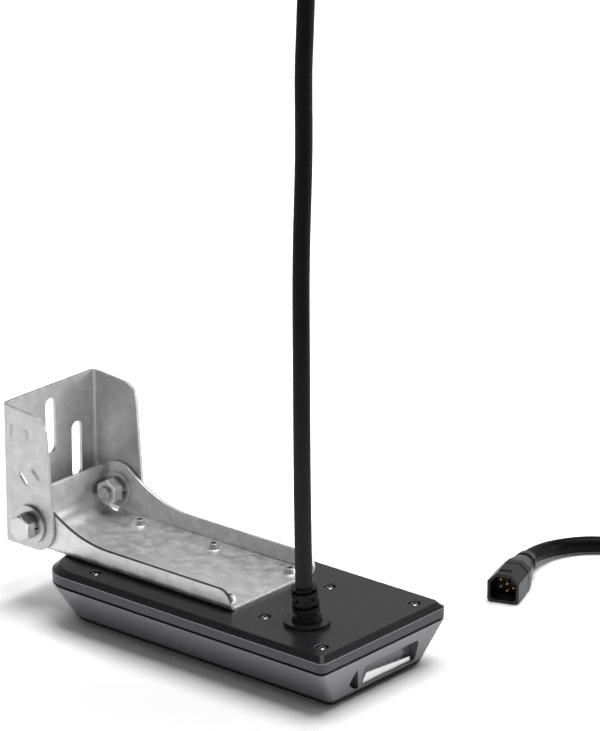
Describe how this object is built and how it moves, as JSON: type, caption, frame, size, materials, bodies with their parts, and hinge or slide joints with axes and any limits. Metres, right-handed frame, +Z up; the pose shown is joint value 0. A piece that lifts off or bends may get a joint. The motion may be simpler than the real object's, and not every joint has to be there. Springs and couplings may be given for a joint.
{
  "type": "sonar transducer",
  "caption": "Flat potted sonar transducer on a folded stainless arm, with a slotted transom bracket that tilts on two bolts and a long cable ending in a keyed plug.",
  "frame": {"origin": "on the plane of the sole, under the middle of the box of housing, arm and bracket, cord left out", "axes": "+X from the transom bracket to the cable end, +Y to the far side in the picture, +Z up"},
  "size_m": [0.3627, 0.2598, 0.3908],
  "materials": {
    "tub_plastic": "matte",
    "lid_plastic": "matte",
    "black_rubber": "matte",
    "stainless": "brushed",
    "screw_steel": "satin",
    "ceramic": "matte",
    "cork": "raw",
    "resin": "cast",
    "board": "satin",
    "black_plastic": "satin",
    "cable_jacket": "satin",
    "gold_plate": "polished"
  },
  "bodies": {
    "transducer": {"housing_tub": "tub_plastic", "housing_lid": "lid_plastic", "lid_seal": "black_rubber", "lid_screws": "screw_steel", "temperature_bar": "screw_steel", "side_element_near": "ceramic", "side_element_far": "ceramic", "down_element": "ceramic", "sonar_disc": "ceramic", "backing_pads": "cork", "potting": "resin", "terminal_board": "board", "arm": "stainless", "arm_screws": "screw_steel", "pivot_bolts": "screw_steel", "outer_washers": "screw_steel", "outer_lock_washers": "screw_steel", "inner_washers": "screw_steel", "inner_lock_washers": "screw_steel", "pivot_nuts": "screw_steel", "entry_ring": "black_plastic", "strain_relief": "black_rubber", "cable_run": "cable_jacket", "cable_coil": "cable_jacket", "coil_ties": "black_plastic", "plug_lead": "cable_jacket", "plug_shroud": "black_plastic", "plug_insert": "black_plastic", "plug_pins": "gold_plate", "plug_seal": "black_rubber", "plug_shell": "black_plastic", "plug_collar": "black_plastic"},
    "bracket": {"transom_bracket": "stainless"}
  },
  "joints": [
    {"name": "bracket_tilt", "type": "hinge", "parent": "transducer", "child": "bracket", "pos_m": [-0.0817, 0, 0.04], "axis": [0, 1, 0], "range_deg": [-60, 80]}
  ]
}
